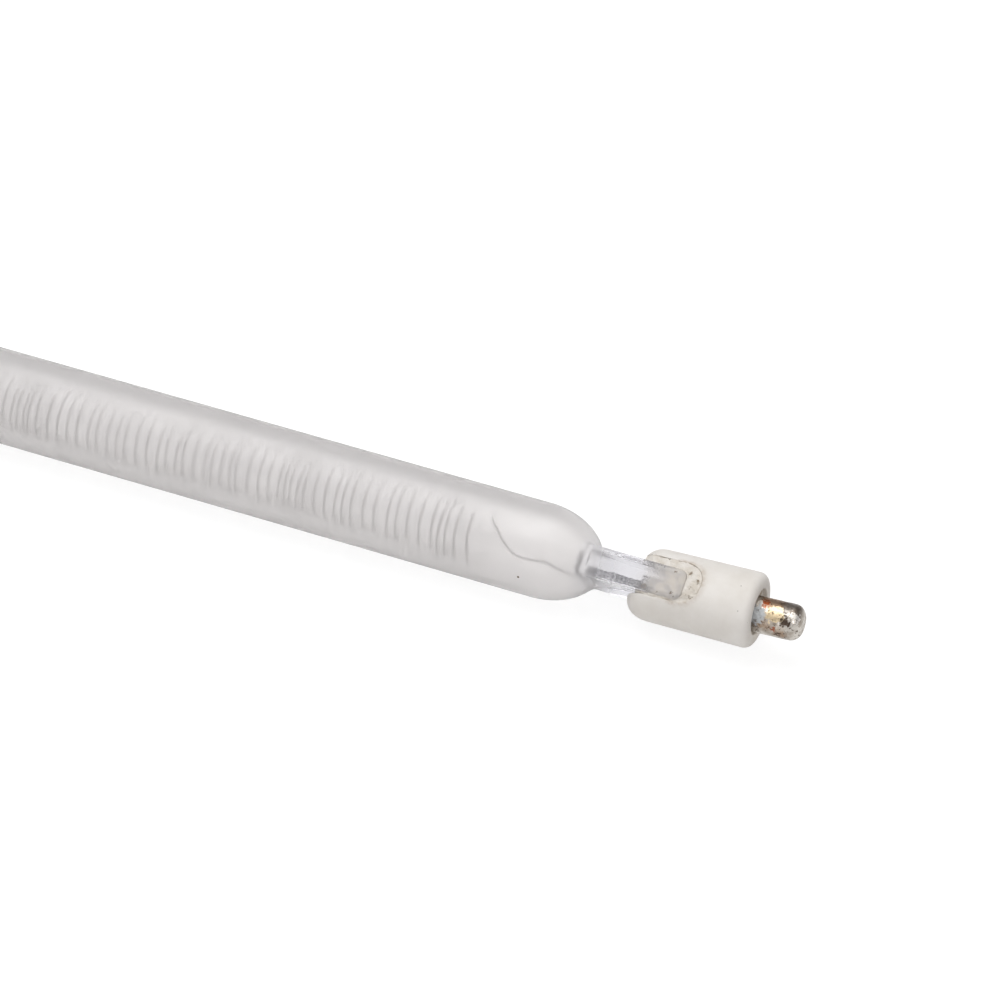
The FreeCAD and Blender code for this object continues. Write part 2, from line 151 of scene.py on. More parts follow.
def wire_piece(name, points, radius, material):
    """A round wire through points given in millimetres."""
    line = bpy.data.curves.new(name, "CURVE")
    line.dimensions = "3D"
    line.bevel_depth = radius * MM
    line.bevel_resolution = 1
    line.use_fill_caps = True
    spline = line.splines.new("POLY")
    spline.points.add(len(points) - 1)
    flat = np.ones((len(points), 4))
    flat[:, :3] = np.asarray(points) * MM
    spline.points.foreach_set("co", flat.ravel())
    line.materials.append(material)
    piece = bpy.data.objects.new(name, line)
    bpy.context.scene.collection.objects.link(piece)
    return piece


def wander(along, length, seed):
    """A slow, smooth wandering between -1 and 1 along the tube."""
    return noise.noise(Vector((along / length, seed, 0.5)))


def coil_turn_places(rng):
    """Where each turn starts along the tube, from the left end of the coil to the right."""
    pulled = sum(PULLED_TURNS)
    even = 2 * (COIL_REACH - pulled)
    count = round(even / TURN_SPACING)
    steps = 1 + TURN_UNEVENNESS * rng.uniform(-1, 1, count)
    steps *= even / steps.sum()
    steps = np.concatenate([PULLED_TURNS[::-1], steps, PULLED_TURNS])
    return np.concatenate([[0], np.cumsum(steps)]) - COIL_REACH


def coil_points():
    """The helix, before the tube is rolled. Its axis wanders, mostly close to the wall on the side that faces
    the camera and a little down."""
    rng = np.random.default_rng(7)
    places = coil_turn_places(rng)
    turns = len(places) - 1
    radii = COIL_RADIUS * (1 + RADIUS_UNEVENNESS * rng.uniform(-1, 1, turns + 1))
    room = QUARTZ_RADIUS - WALL - COIL_RADIUS - WIRE_RADIUS
    points = []
    for index in range(turns * POINTS_A_TURN + 1):
        turn = index / POINTS_A_TURN
        along = np.interp(turn, range(turns + 1), places)
        radius = np.interp(turn, range(turns + 1), radii)
        near_end = END_PRESS * max(along - END_PRESS_START, 0) / END_PRESS_RUN
        press = room * (PRESS + PRESS_WANDER * wander(along, PRESS_WAVE, 3.1) + near_end)
        shift = COIL_LEAN + LEAN_WANDER * wander(along, LEAN_WAVE, 8.4)
        angle = 2 * math.pi * turn
        across = radius * math.cos(angle) - press * math.sin(shift)
        height = radius * math.sin(angle) + press * math.cos(shift)
        points.append((along + TURN_SWAY * wander(turn, TURN_WAVE, 5.7), across, height))
    return points


# The leg at the right end, as places along the tube, across it and towards its near side, as the photograph
# shows it. It leaves the coil's last turn, slants down and runs into the seal.
LEG = (
    (85.0, 1.02, 3.87),
    (86.14, -0.09, 4.0),
    (87.15, -1.05, 3.86),
    (88.76, -1.89, 3.47),
    (90.8, -1.83, 3.22),
    (91.81, -1.58, 2.9),
    (93.31, -1.65, 1.7),
    (94.41, -1.51, 0.6),
    (95.4, -1.3, 0.1),
    (97.6, -1.05, 0.0),
)


def smooth_line(points, parts):
    """More points on a smooth line through these."""
    given = [Vector(point) for point in points]
    padded = [2 * given[0] - given[1]] + given + [2 * given[-1] - given[-2]]
    line = []
    for a, b, c, d in zip(padded, padded[1:], padded[2:], padded[3:]):
        for step in range(parts):
            t = step / parts
            bend = (2 * a - 5 * b + 4 * c - d) * t + (3 * b - a - 3 * c + d) * t * t
            line.append(b + 0.5 * t * ((c - a) + bend))
    return line + [given[-1]]


helix = coil_points()
leg_right = smooth_line([helix[-1]] + list(LEG), LEG_PARTS)
leg_left = smooth_line([helix[0]] + [(-x, y, z) for x, y, z in LEG], LEG_PARTS)
wire_line = [tuple(p) for p in reversed(leg_left)] + helix[1:-1] + [tuple(p) for p in leg_right]
coil = wire_piece("heating_wire", [roll @ Vector(p) for p in wire_line], WIRE_RADIUS, resistance_wire())
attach(coil, "root")
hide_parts("heating_coil")

# Seal foils: thin rolled molybdenum ribbon, pressed into the hot quartz. The pressing leaves the ribbon a
# little crumpled and below the middle of the seal.
FOIL_START = 6.4
FOIL_LENGTH = 7.6
FOIL_WIDTH = 2.6
FOIL_THICKNESS = 0.04
FOIL_DROP = 0.75
FOIL_TILT = 14.0
FOIL_CRUMPLE = 0.12
FOIL_CRINKLE = 0.05
FOIL_ROWS = 60
FOIL_COLUMNS = 20
FOIL_LIGHT = "#FFFFFF"
FOIL_DARK = "#B2B0B4"

# Each end is built outwards from the end of the straight tube. The right end sits a little crooked.
ENDS = {"right": 1.0, "left": 0.0}
SEAL_DROP = 0.2


def end_frame(side):
    """Where one end begins: X runs outwards, and Z to the side that the camera sees."""
    turn = Matrix.Rotation(0 if side == "right" else math.pi, 4, "Z")
    return roll @ turn @ Matrix.Translation((STRAIGHT_HALF, 0, 0))


def seal_frame(side):
    """Where one end's seal and foil sit: the right one is pinched a little low."""
    return end_frame(side) @ Matrix.Translation((0, -SEAL_DROP * ENDS[side], 0))


def molybdenum(name, grain, roughness):
    """Rolled or drawn molybdenum: a cool grey with dark oxide specks where it was sealed in hot quartz. It is
    lighter here than the bare metal, because it shows only through the quartz, which dims it."""
    material = blank_material(name)
    place = add_node(material, "ShaderNodeTexCoord").outputs["Object"]
    specks = add_node(material, "ShaderNodeTexNoise", {
        "Vector": place,
        "Scale": 1 / (grain * MM),
        "Detail": 3.0,
    })
    share = add_node(material, "ShaderNodeMapRange", {
        "Value": specks.outputs["Fac"],
        "From Min": 0.42,
        "From Max": 0.62,
    })
    bump = add_node(material, "ShaderNodeBump", {
        "Strength": 0.4,
        "Distance": 0.03 * MM,
        "Height": specks.outputs["Fac"],
    })
    metal = add_node(material, "ShaderNodeBsdfPrincipled", {
        "Base Color": layered(material, linear(FOIL_LIGHT), [(share.outputs["Result"], FOIL_DARK)]),
        "Metallic": 1.0,
        "Roughness": roughness,
        "Normal": bump.outputs["Normal"],
    })
    return finished(material, metal.outputs["BSDF"])


def mesh_piece(name, points, faces, place, material, smooth_angle=35):
    """A mesh from points in millimetres in the frame given by place, smooth but for its sharp edges."""
    mesh = bpy.data.meshes.new(name)
    mesh.from_pydata([(place @ Vector(p)) * MM for p in points], [], faces)
    mesh.materials.append(material)
    mesh.polygons.foreach_set("use_smooth", [True] * len(mesh.polygons))
    mesh.set_sharp_from_angle(angle=math.radians(smooth_angle))
    mesh.validate()
    piece = bpy.data.objects.new(name, mesh)
    bpy.context.scene.collection.objects.link(piece)
    return piece


def foil_points():
    """A crumpled ribbon with a thickness: rows of points along it, over and under."""
    rows, columns = FOIL_ROWS, FOIL_COLUMNS
    points = []
    for side in (1, -1):
        for row in range(rows + 1):
            for column in range(columns + 1):
                along = FOIL_START + FOIL_LENGTH * row / rows
                across = FOIL_WIDTH * (column / columns - 0.5)
                crumple = FOIL_CRUMPLE * noise.noise(Vector((along * 1.3, across * 1.1, 2.0)))
                crumple += FOIL_CRINKLE * noise.noise(Vector((along * 4.0, across * 3.0, 7.0)))
                rise = across * math.sin(math.radians(FOIL_TILT))
                points.append((along, crumple + rise + side * FOIL_THICKNESS / 2, across))
    layer = (rows + 1) * (columns + 1)
    faces = []
    for row in range(rows):
        for column in range(columns):
            a = row * (columns + 1) + column
            b, c, d = a + 1, a + columns + 2, a + columns + 1
            faces += [(d, c, b, a), (layer + a, layer + b, layer + c, layer + d)]
    rim = [row * (columns + 1) for row in range(rows)]
    rim += [rows * (columns + 1) + column for column in range(columns)]
    rim += [row * (columns + 1) + columns for row in range(rows, 0, -1)]
    rim += list(range(columns, 0, -1))
    for a, b in zip(rim, rim[1:] + rim[:1]):
        faces.append((layer + b, layer + a, a, b))
    return points, faces


foil_metal = molybdenum("rolled molybdenum ribbon", 0.28, 0.35)
for side in ENDS:
    drop = Matrix.Translation((0, -FOIL_DROP, 0))
    foil = mesh_piece(f"foil_{side}", *foil_points(), seal_frame(side) @ drop, foil_metal)
    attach(foil, "root")
    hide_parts(f"seal_foil_{side}")

# Outer leads: drawn molybdenum rods from the foils out to the contact pins, hidden in seal and cap
lead_metal = molybdenum("drawn molybdenum rod", 0.3, 0.35)
for side in ENDS:
    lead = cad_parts[f"outer_lead_{side}"]
    lead.data.materials.clear()
    lead.data.materials.append(lead_metal)

# Quartz tube: fused quartz, its outside etched to a satin frost. Each end was heated and drawn in to a dome,
# and pinched flat between jaws into a clear seal with a pressed hollow in each broad side.
DOME_LENGTH = 7.0
SEAL_LENGTH = 10.8
SEAL_HALF_THICKNESS = 1.75
SEAL_HALF_WIDTH = 4.0
SEAL_CORNER = 0.6
SEAL_GROWS = 3.5
SEAL_GROWN = 7.6
SEAL_START_NARROWER = 0.7
SEAL_START_ROUNDER = 0.9
SEAL_DROP_REACH = 6.6
DOME_EDGE_WIDTH = 3.96
DOME_SWEEP = math.radians(71.0)
DOME_FULLNESS = 0.85
PINCH_FILLET = 0.7
PINCH_START = 2.0
HOLLOW_DEPTH = 0.55
HOLLOW_EDGE = 0.12
BROAD_SIDE = (0.6, 1.2)
HOLLOW_HALF_WIDTH = 2.5
HOLLOW_START = 5.8
HOLLOW_FULL = 10.2
HOLLOW_END = 16.3
BORE_TIP = 5.5
BORE_TIP_WIDTH = 2.4
RING_QUARTER = 36
RAY_COUNT = 400
PIP_ROOT = 1.9
PIP_FLAT = 0.25
PIP_SHOWN = 0.99
SEAL_END_ROUND = 0.9
SEAL_END_NARROWER = 0.3
QUARTZ_TINT = "#F1EEED"
SEAL_TINT = "#DDDCE0"
PASTE_FILM = "#CFC8BF"
BURNT_SPECK_AND_BUBBLE_SHADE = "#6B5847"
BURNT_SPECKS = ((16.6, -1.05, 4.0), (17.0, -1.6, 4.0), (16.45, 1.3, 4.0), (15.1, -1.5, 4.0))
SOOT_SPECK = (89.6, -4.14, 3.22)
# Centre of a painted dark ring, the shade at the rim of an air bubble in the seal; the bubble itself is not
# built
BUBBLE_PAINTED_RIM = (13.54, -1.23, 4.0)
FROST_ROUGHNESS = 0.5
DOME_ROUGHNESS = 0.4
CLEAR_ROUGHNESS = 0.03
FROST_CLEARNESS = 0.72
QUARTZ_IOR = 1.458
FROST_CLOUD = 6
ETCH_GRAIN = 0.25
DRAWN_LINE = 0.8
FILM_PATCH = 0.9
FILM_FRAY = 5

# Where along the tube, from its middle, its frost thins and clears, its tint changes and the film begins
FROST_THINS = (84, 92)
MILK_CLEARS = (95.5, 99.8)
FROST_CLEARS = (96.8, 99.8)
TINT_CHANGES = (95, 98)
FILM_BEGINS = (103.5, 108.5)


def soft_step(value, start, stop):
    """Rises softly from 0 to 1 between start and stop."""
    share = np.clip((value - start) / (stop - start), 0, 1)
    return share * share * (3 - 2 * share)


def oval_reach(angle, half_y, half_z):
    """How far the dome's oval reaches in each direction."""
    return 1 / np.sqrt((np.cos(angle) / half_y) ** 2 + (np.sin(angle) / half_z) ** 2)


def bar_reach(angle, u):
    """How far the rounded bar of the seal reaches in each direction. It grows out of the dome."""
    hidden = 1 - float(soft_step(np.array(u), SEAL_GROWS, SEAL_GROWN))
    y, r = SEAL_HALF_THICKNESS, SEAL_CORNER + SEAL_START_ROUNDER * hidden
    z = SEAL_HALF_WIDTH - SEAL_START_NARROWER * hidden
    c, s = np.cos(angle), np.sin(angle)
    flat = np.minimum(y / np.maximum(c, 1e-9), z / np.maximum(s, 1e-9))
    along = c * (y - r) + s * (z - r)
    inside = along ** 2 - (y - r) ** 2 - (z - r) ** 2 + r ** 2
    corner = along + np.sqrt(np.maximum(inside, 0))
    in_corner = (flat * c > y - r) & (flat * s > z - r)
    return np.where(in_corner, corner, flat)


def quarter_ring(reach, angles):
    """Points at even distances along one quarter of a ring, from the edge side to the broad side."""
    y, z = reach * np.cos(angles), reach * np.sin(angles)
    run = np.concatenate([[0], np.cumsum(np.hypot(np.diff(y), np.diff(z)))])
    even = np.linspace(0, run[-1], RING_QUARTER + 1)
    return np.interp(even, run, y), np.interp(even, run, z)


def whole_ring(y, z):
    """A whole ring from one quarter of it, mirrored both ways."""
    y = np.concatenate([y[:-1], y[::-1][:-1], -y[:-1], -y[::-1][:-1]])
    z = np.concatenate([z[:-1], -z[::-1][:-1], -z[:-1], z[::-1][:-1]])
    return y, z


def outer_ring(u):
    """The outside of one end at a distance u from the straight tube, as points across it."""
    angles = np.linspace(math.pi / 2, 0, RAY_COUNT)
    bar = bar_reach(angles, u)
    reach = bar
    if u < DOME_LENGTH:
        turn = math.asin(max(u, 0) / DOME_LENGTH)
        share = min(turn / DOME_SWEEP, 1)
        half_y = QUARTZ_RADIUS * math.cos(turn) ** DOME_FULLNESS
        half_z = DOME_EDGE_WIDTH + (QUARTZ_RADIUS - DOME_EDGE_WIDTH) * math.cos(share * math.pi / 2) ** 2
        if turn > DOME_SWEEP:
            half_z *= math.sqrt(math.cos(turn) / math.cos(DOME_SWEEP))
        oval = oval_reach(angles, max(half_y, 1e-3), max(half_z, 1e-3))
        near = np.maximum(PINCH_FILLET - np.abs(oval - bar), 0)
        reach = np.maximum(oval, bar) + near ** 2 / (4 * PINCH_FILLET) * (u > PINCH_START)
    y, z = whole_ring(*quarter_ring(reach, angles))
    width = 1 - soft_step(np.abs(z), HOLLOW_HALF_WIDTH - HOLLOW_EDGE, HOLLOW_HALF_WIDTH + HOLLOW_EDGE)
    run = np.clip((u - HOLLOW_START) / (HOLLOW_FULL - HOLLOW_START), 0, 1)
    run *= 1 - soft_step(np.array(u), HOLLOW_END - HOLLOW_EDGE, HOLLOW_END + HOLLOW_EDGE)
    broad = soft_step(np.abs(y), *BROAD_SIDE)
    return y - np.sign(y) * HOLLOW_DEPTH * width * run * broad, z


def bore_ring(turn):
    """The inside of one end, which closes to a flattened tip."""
    half_y = (QUARTZ_RADIUS - WALL) * math.cos(turn)
    half_z = BORE_TIP_WIDTH + (QUARTZ_RADIUS - WALL - BORE_TIP_WIDTH) * math.cos(turn) ** 2
    half_z *= max(math.cos(turn), 1e-4) ** 0.5
    angles = np.linspace(math.pi / 2, 0, RAY_COUNT)
    return whole_ring(*quarter_ring(oval_reach(angles, max(half_y, 1e-3), half_z), angles))


def tube_skin(rings, outwards):
    """Points and faces of a closed skin over rings, each with its place along the tube, y and z."""
    count = len(rings[0][1])
    points = [(x, a, b) for x, y, z in rings for a, b in zip(y, z)]
    faces = []
    for row in range(len(rings) - 1):
        for k in range(count):
            a, b = row * count + k, row * count + (k + 1) % count
            faces.append((a, a + count, b + count, b))
    last = (len(rings) - 1) * count
    faces += [tuple(range(count)), tuple(range(last, last + count))[::-1]]
    return points, faces if outwards else [face[::-1] for face in faces]


def outer_rings():
    """Rings from end to end of the outside, closer together where the dome is pinched and the hollow ends."""
    seal_end = DOME_LENGTH + SEAL_LENGTH
    stretches = (
        (0, 5.4, 26),
        (5.5, 8.2, 40),
        (8.4, HOLLOW_END - 0.3, 34),
        (HOLLOW_END - 0.2, HOLLOW_END + 0.2, 9),
        (HOLLOW_END + 0.3, seal_end - SEAL_END_ROUND, 4),
    )
    places = np.concatenate([np.linspace(start, stop, count) for start, stop, count in stretches])
    ends = [(STRAIGHT_HALF + u, *outer_ring(u)) for u in places]
    y, z = outer_ring(seal_end - SEAL_END_ROUND)
    for turn in np.radians([15, 30, 45, 60, 75, 90]):
        thinner = SEAL_END_ROUND * (1 - math.cos(turn)) / SEAL_HALF_THICKNESS
        narrower = SEAL_END_NARROWER * (1 - math.cos(turn)) / SEAL_HALF_WIDTH
        along = STRAIGHT_HALF + seal_end - SEAL_END_ROUND * (1 - math.sin(turn))
        ends.append((along, y * (1 - thinner), z * (1 - narrower)))
    middle = [(x, *outer_ring(0)) for x in np.linspace(-STRAIGHT_HALF, STRAIGHT_HALF, 121)[1:-1]]
    rings = [(-x, y, z) for x, y, z in reversed(ends)] + middle
    for x, y, z in ends:
        drop = SEAL_DROP * min(1, (x - STRAIGHT_HALF) / SEAL_DROP_REACH)
        rings.append((x, y - drop, z))
    return rings


def bore_rings():
    """Rings from end to end of the bore, which stops short of the seals."""
    turns = np.radians(np.linspace(0, 88, 40))
    ends = [(STRAIGHT_HALF + BORE_TIP * math.sin(turn), *bore_ring(turn)) for turn in turns]
    return [(-x, y, z) for x, y, z in reversed(ends)] + ends


def raise_pip(points):
    """Draws the wall out into the short cone that is left where the tube was pumped and melted shut."""
    way = Vector((0, -math.sin(math.radians(PIP_TURN)), -math.cos(math.radians(PIP_TURN))))
    raised = []
    for point in points:
        p = Vector(point)
        if abs(p.x) > PIP_ROOT or p.yz.length < QUARTZ_RADIUS - 0.2:
            raised.append(point)
            continue
        away = math.hypot(p.x, QUARTZ_RADIUS * Vector((0, p.y, p.z)).angle(way))
        height = 0.0
        if away < PIP_ROOT:
            height = PIP_SHOWN * float(1 - soft_step(np.array(away), PIP_FLAT, PIP_ROOT))
        raised.append(tuple(p + way * height))
    return raised


def local_place(material, frame_matrix):
    """The place on a piece in millimetres, measured in the piece's own frame."""
    place = add_node(material, "ShaderNodeTexCoord").outputs["Object"]
    inverse = frame_matrix.inverted()
    turn = inverse.to_euler("XYZ")
    sized = add_node(material, "ShaderNodeMapping", {
        "Vector": place,
        "Location": inverse.translation,
        "Rotation": turn,
        "Scale": (1 / MM, 1 / MM, 1 / MM),
    })
    return sized.outputs["Vector"]


def frayed(material, place, grain, amount):
    """The same place, moved about by a fine noise, so that marks drawn with it have frayed edges."""
    fine = add_node(material, "ShaderNodeTexNoise", {"Vector": place, "Scale": 1 / grain, "Detail": 3.0})
    pushed = add_node(material, "ShaderNodeVectorMath", {
        0: fine.outputs["Color"],
        1: (amount, amount, amount),
        2: place,
    }, operation="MULTIPLY_ADD")
    half = (amount / 2, amount / 2, amount / 2)
    centred = add_node(material, "ShaderNodeVectorMath", {
        0: pushed.outputs["Vector"],
        1: half,
    }, operation="SUBTRACT")
    return centred.outputs["Vector"]


def smudge(material, place, centre, reach, edge):
    """How strongly a smudge round a centre shows at a place: 1 in its middle and 0 outside."""
    away = add_node(material, "ShaderNodeVectorMath", {0: place, 1: centre}, operation="DISTANCE")
    shown = add_node(material, "ShaderNodeMapRange", {
        "Value": away.outputs["Value"],
        "From Min": reach - edge,
        "From Max": reach,
        "To Min": 1.0,
        "To Max": 0.0,
    }, interpolation_type="SMOOTHSTEP")
    return shown.outputs["Result"]


def along_tube(material, reach, stretch, first, last):
    """A value that changes softly from first to last over a stretch of the tube."""
    changed = add_node(material, "ShaderNodeMapRange", {
        "Value": reach,
        "From Min": stretch[0] * MM,
        "From Max": stretch[1] * MM,
        "To Min": first,
        "To Max": last,
    }, interpolation_type="SMOOTHSTEP")
    return changed.outputs["Result"]


def cement_film(material, place, reach, cloud):
    """How strongly a thin film of cement covers the seal: patchy, and with an uneven edge."""
    smeared = add_node(material, "ShaderNodeMath", {
        0: cloud,
        1: FILM_FRAY * MM,
        2: reach,
    }, operation="MULTIPLY_ADD")
    patchy = add_node(material, "ShaderNodeTexNoise", {
        "Vector": place,
        "Scale": 1 / (FILM_PATCH * MM),
        "Detail": 5.0,
    })
    covered = add_node(material, "ShaderNodeMapRange", {
        "Value": patchy.outputs["Fac"],
        "From Min": 0.3,
        "From Max": 0.6,
        "To Min": 0.6,
        "To Max": 0.95,
    })
    film = add_node(material, "ShaderNodeMath", {
        0: along_tube(material, smeared.outputs["Value"], FILM_BEGINS, 0.0, 1.0),
        1: covered.outputs["Result"],
    }, operation="MULTIPLY")
    return film.outputs["Value"]


def quartz_specks_and_bubble_shade(material):
    """How strongly the burnt specks, the speck of soot and the painted shade at the bubble's rim show."""
    at_seal = local_place(material, seal_frame("right"))
    at_specks = frayed(material, at_seal, 0.25, 0.9)
    marks = [smudge(material, at_specks, spot, 0.2, 0.1) for spot in BURNT_SPECKS]
    marks.append(smudge(material, local_place(material, roll), SOOT_SPECK, 0.17, 0.08))
    # A painted dark ring stands in for the shade at the rim of the bubble
    rim = smudge(material, at_seal, BUBBLE_PAINTED_RIM, 0.34, 0.1)
    inside = smudge(material, at_seal, BUBBLE_PAINTED_RIM, 0.2, 0.1)
    ring = add_node(material, "ShaderNodeMath", {0: rim, 1: inside}, operation="SUBTRACT")
    painted_bubble_rim_shade = add_node(material, "ShaderNodeMath", {0: ring.outputs["Value"], 1: 0.7}, operation="MULTIPLY")
    shown = painted_bubble_rim_shade.outputs["Value"]
    for mark in marks:
        both = add_node(material, "ShaderNodeMath", {0: shown, 1: mark}, operation="MAXIMUM")
        shown = both.outputs["Value"]
    return shown


def frosting(material, reach, cloud):
    """The roughness along the tube: satin on the straight part, thinner on the domes, none on the seals."""
    uneven = add_node(material, "ShaderNodeMapRange", {
        "Value": cloud,
        "From Min": 0.3,
        "From Max": 0.7,
        "To Min": 0.92,
        "To Max": 1.08,
    })
    faded = add_node(material, "ShaderNodeMath", {
        0: along_tube(material, reach, FROST_THINS, FROST_ROUGHNESS, DOME_ROUGHNESS),
        1: along_tube(material, reach, FROST_CLEARS, 1.0, CLEAR_ROUGHNESS / DOME_ROUGHNESS),
    }, operation="MULTIPLY")
    roughness = add_node(material, "ShaderNodeMath", {
        0: faded.outputs["Value"],
        1: uneven.outputs["Result"],
    }, operation="MULTIPLY")
    return roughness.outputs["Value"]


def etched_quartz():
    """Fused quartz: nearly colourless glass. The etched outside scatters what shines through to a pale satin
    grey, the pinched ends stay clear and glossy, and a film of cement dulls them where the caps grip. A
    painted dark ring stands in for the shade at the rim of a bubble in the seal."""
    material = blank_material("satin etched fused quartz")
    place = add_node(material, "ShaderNodeTexCoord").outputs["Object"]
    along = add_node(material, "ShaderNodeSeparateXYZ", {"Vector": place}).outputs["X"]
    reach = add_node(material, "ShaderNodeMath", {0: along}, operation="ABSOLUTE").outputs["Value"]
    cloud = add_node(material, "ShaderNodeTexNoise", {
        "Vector": place,
        "Scale": 1 / (FROST_CLOUD * MM),
        "Detail": 4.0,
    }).outputs["Fac"]
    roughness = frosting(material, reach, cloud)
    film = cement_film(material, place, reach, cloud)
    specks = quartz_specks_and_bubble_shade(material)
    sealed = along_tube(material, reach, TINT_CHANGES, 0.0, 1.0)
    # The specks' dark tint also paints the shade at the bubble's rim
    tints = [(sealed, SEAL_TINT), (film, PASTE_FILM), (specks, BURNT_SPECK_AND_BUBBLE_SHADE)]
    hidden = add_node(material, "ShaderNodeMath", {0: film, 1: specks}, operation="MAXIMUM")
    bare = add_node(material, "ShaderNodeMath", {0: 1.0, 1: hidden.outputs["Value"]}, operation="SUBTRACT")
    clearness = add_node(material, "ShaderNodeMath", {
        0: along_tube(material, reach, MILK_CLEARS, FROST_CLEARNESS, 1.0),
        1: bare.outputs["Value"],
    }, operation="MULTIPLY")
    rubbed = add_node(material, "ShaderNodeMath", {
        0: hidden.outputs["Value"],
        1: 0.5,
        2: roughness,
    }, operation="MULTIPLY_ADD")
    # The etch's own grain is a few hundredths of a millimetre, too fine to show, and is drawn coarser
    etch = add_node(material, "ShaderNodeTexNoise", {
        "Vector": place,
        "Scale": 1 / (ETCH_GRAIN * MM),
        "Detail": 2.0,
    })
    etched = add_node(material, "ShaderNodeMath", {
        0: etch.outputs["Fac"],
        1: roughness,
    }, operation="MULTIPLY")
    bump = add_node(material, "ShaderNodeBump", {
        "Strength": 0.3,
        "Distance": 0.01 * MM,
        "Height": etched.outputs["Value"],
    })
    glass = add_node(material, "ShaderNodeBsdfPrincipled", {
        "Base Color": layered(material, linear(QUARTZ_TINT), tints),
        "IOR": QUARTZ_IOR,
        "Transmission Weight": clearness.outputs["Value"],
        "Roughness": rubbed.outputs["Value"],
        "Normal": bump.outputs["Normal"],
    })
    return finished(material, glass.outputs["BSDF"])


def clear_quartz():
    """The smooth bore of the tube, which was never etched: clear and glossy."""
    material = blank_material("drawn fused quartz")
    place = add_node(material, "ShaderNodeTexCoord").outputs["Object"]
    draw = add_node(material, "ShaderNodeMapping", {"Vector": place, "Scale": (0.15, 1.0, 1.0)})
    lines = add_node(material, "ShaderNodeTexNoise", {
        "Vector": draw.outputs["Vector"],
        "Scale": 1 / (DRAWN_LINE * MM),
        "Detail": 1.0,
    })
    bump = add_node(material, "ShaderNodeBump", {
        "Strength": 0.1,
        "Distance": 0.02 * MM,
        "Height": lines.outputs["Fac"],
    })
    glass = add_node(material, "ShaderNodeBsdfPrincipled", {
        "Base Color": linear("#FFFFFF"),
        "IOR": QUARTZ_IOR,
        "Transmission Weight": 1.0,
        "Roughness": 0.04,
        "Normal": bump.outputs["Normal"],
    })
    return finished(material, glass.outputs["BSDF"])


outside_points, outside_faces = tube_skin(outer_rings(), True)
bore_points, bore_faces = tube_skin(bore_rings(), False)
outside_points = raise_pip(outside_points)
first = len(outside_points)
quartz_faces = outside_faces + [tuple(k + first for k in face) for face in bore_faces]
quartz_points = outside_points + bore_points
quartz = mesh_piece("quartz_envelope", quartz_points, quartz_faces, roll, etched_quartz(), 60)
quartz.data.materials.append(clear_quartz())
inside = np.zeros(len(quartz_faces), int)
inside[len(outside_faces):] = 1
quartz.data.polygons.foreach_set("material_index", inside)
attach(quartz, "root")
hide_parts("quartz_tube")

# Ceramic caps: pressed and fired steatite, unglazed. A slot across the inner end makes a fork that straddles
# the seal, and a stepped bore takes the contact pin.
CAP_START = 11.8
CAP_LENGTH = 13.8
CAP_FORK_RADIUS = 4.06
CAP_FACE_RADIUS = 4.2
CAP_FORK_ROUND = 2.3
CAP_FACE_ROUND = 0.9
CAP_BORE_RADIUS = 1.7
CAP_MOUTH_RADIUS = 2.55
CAP_MOUTH_DEPTH = 1.2
CAP_DROP = 0.3
CAP_LEAN = 1.5
CAP_TWIST = 6.5
SLOT_RADIUS = 2.3
SLOT_DEPTH = 7.8
LOWER_ARM_EXTRA = 1.1
ARM_RUN = 4
BORE_START = 2
CUT_PAST = 1
SLOT_CUT = 6
SKIN_GRID = 0.1
CAP_WEAR = 5
STEATITE = "#EAE6E1"
STEATITE_SHADE = "#E0DBD4"
STEATITE_STAIN = "#A8937A"
STEATITE_DOT = "#5B4A3E"
STEATITE_MOTTLE = 3.5
STEATITE_GRAIN = 0.12
STAIN_FRAY = 0.7
STAIN_REACH = 3.2
STAIN_EDGE = 1.0
DOT_SPACING = 1.6


def cap_frame(side):
    """Where one cap sits: the right one leans and is twisted on its seal."""
    share = ENDS[side]
    place = Matrix.Translation((CAP_START, -CAP_DROP * share, 0))
    lean = Matrix.Rotation(math.radians(CAP_LEAN * share), 4, "Z")
    twist = Matrix.Rotation(math.radians(-CAP_TWIST * share), 4, "X")
    return end_frame(side) @ place @ lean @ twist


def turned_skin(profile, around):
    """A solid of revolution about X, from places along the axis and radii. It starts and ends on the axis."""
    points = [(profile[0][0], 0, 0)]
    for along, radius in profile[1:-1]:
        for k in range(around):
            angle = 2 * math.pi * k / around
            points.append((along, radius * math.cos(angle), radius * math.sin(angle)))
    points.append((profile[-1][0], 0, 0))
    faces = []
    rows = len(profile) - 2
    for k in range(around):
        faces.append((0, 1 + (k + 1) % around, 1 + k))
        last = 1 + (rows - 1) * around
        faces.append((last + k, last + (k + 1) % around, len(points) - 1))
    for row in range(rows - 1):
        for k in range(around):
            a, b = 1 + row * around + k, 1 + row * around + (k + 1) % around
            faces.append((a, b, b + around, a + around))
    return points, faces


def rounded_corner(along, radius, size, start, stop):
    """Points of a quarter round on a turned profile, about a centre, between two angles in degrees."""
    angles = np.radians(np.linspace(start, stop, 9))
    return [(along + size * math.cos(a), radius + size * math.sin(a)) for a in angles]


def cap_profile():
    """The cap's outline from its axis round the fork's end and the face back to its axis."""
    fork = rounded_corner(CAP_FORK_ROUND, CAP_FORK_RADIUS - CAP_FORK_ROUND, CAP_FORK_ROUND, 180, 90)
    corner = (CAP_LENGTH - CAP_FACE_ROUND, CAP_FACE_RADIUS - CAP_FACE_ROUND)
    face = rounded_corner(*corner, CAP_FACE_ROUND, 90, 0)
    return [(0, 0)] + fork + face + [(CAP_LENGTH, 0)]


def block_faces(count):
    """The faces of a block over two like outlines of count points each."""
    faces = [tuple(range(count))[::-1], tuple(range(count, 2 * count))]
    return faces + [(k, (k + 1) % count, (k + 1) % count + count, k + count) for k in range(count)]


